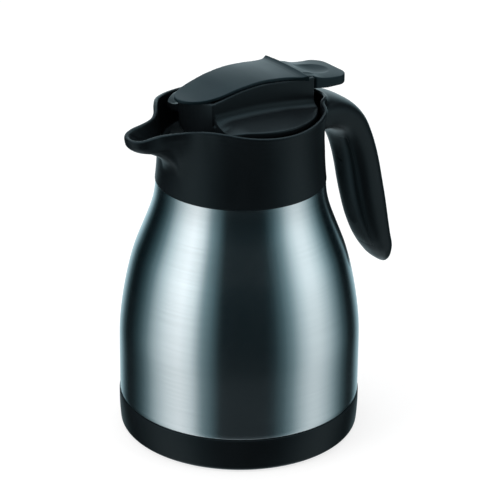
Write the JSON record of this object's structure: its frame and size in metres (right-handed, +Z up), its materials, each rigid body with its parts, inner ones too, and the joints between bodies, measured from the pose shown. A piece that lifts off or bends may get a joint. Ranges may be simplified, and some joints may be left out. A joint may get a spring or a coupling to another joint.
{
  "type": "thermal carafe",
  "caption": "Double-walled steel carafe with a black collar, pouring spout and open handle, and a screw-in stopper whose thumb lever opens a pour valve.",
  "frame": {"origin": "centre of the base on the surface it stands on", "axes": "+Z up along the body's axis, spout towards -X, handle towards +X, mirror plane Y = 0"},
  "size_m": [0.1662, 0.128, 0.1963],
  "materials": {
    "steel": "brushed round the body",
    "inner_steel": "satin",
    "black_plastic": "satin black moulding",
    "satin_plastic": "fine satin black moulding",
    "rubber": "matt",
    "silicone": "grey silicone",
    "guide_plastic": "natural moulding",
    "foam": "closed-cell foam",
    "fastener": "plain stainless",
    "seal_glass": "solder bead",
    "getter_metal": "sintered"
  },
  "bodies": {
    "vessel": {"outer_shell": "steel", "inner_vessel": "inner_steel", "outer_bottom": "inner_steel", "evacuation_seal": "seal_glass", "getter": "getter_metal", "base_cover": "black_plastic", "foot_pad": "rubber", "collar_and_handle": "black_plastic", "handle_insert": "black_plastic", "handle_screws": "fastener", "screw_plugs": "black_plastic", "mouth_gasket": "silicone", "neck_ring": "black_plastic"},
    "lift": {"stopper_gasket": "silicone"},
    "stopper": {"stopper_body": "black_plastic", "stopper_base": "black_plastic", "stopper_foam": "foam", "stopper_cover": "black_plastic", "cover_screws": "fastener", "top_plate": "satin_plastic", "lever_pin": "fastener", "stem_guide": "guide_plastic"},
    "lever": {"thumb_lever": "satin_plastic"},
    "valve": {"valve_stem": "fastener", "valve_nut": "fastener", "valve_disc": "guide_plastic", "valve_seal": "silicone", "valve_spring": "fastener"}
  },
  "joints": [
    {"name": "stopper_rise", "type": "slide", "parent": "vessel", "child": "lift", "axis": [0, 0, 1], "range_m": [0, 0.008]},
    {"name": "stopper_turn", "type": "hinge", "parent": "lift", "child": "stopper", "pos_m": [0, 0, 0.16], "axis": [0, 0, 1], "range_deg": [0, 240]},
    {"name": "lever_press", "type": "hinge", "parent": "stopper", "child": "lever", "pos_m": [0.02, 0, 0.1872], "axis": [0, 1, 0], "range_deg": [0, 7.5], "stiffness_Nm_per_rad": 0.5, "springref_deg": -17.19},
    {"name": "valve_slide", "type": "slide", "parent": "stopper", "child": "valve", "axis": [0, 0, 1], "range_m": [0, 0.0031], "deforming": ["valve_spring"]}
  ],
  "couplings": [
    {"joint": "stopper_turn", "follows": "stopper_rise", "rad_per_m": 523.59},
    {"joint": "lever_press", "follows": "valve_slide", "rad_per_m": 42}
  ]
}
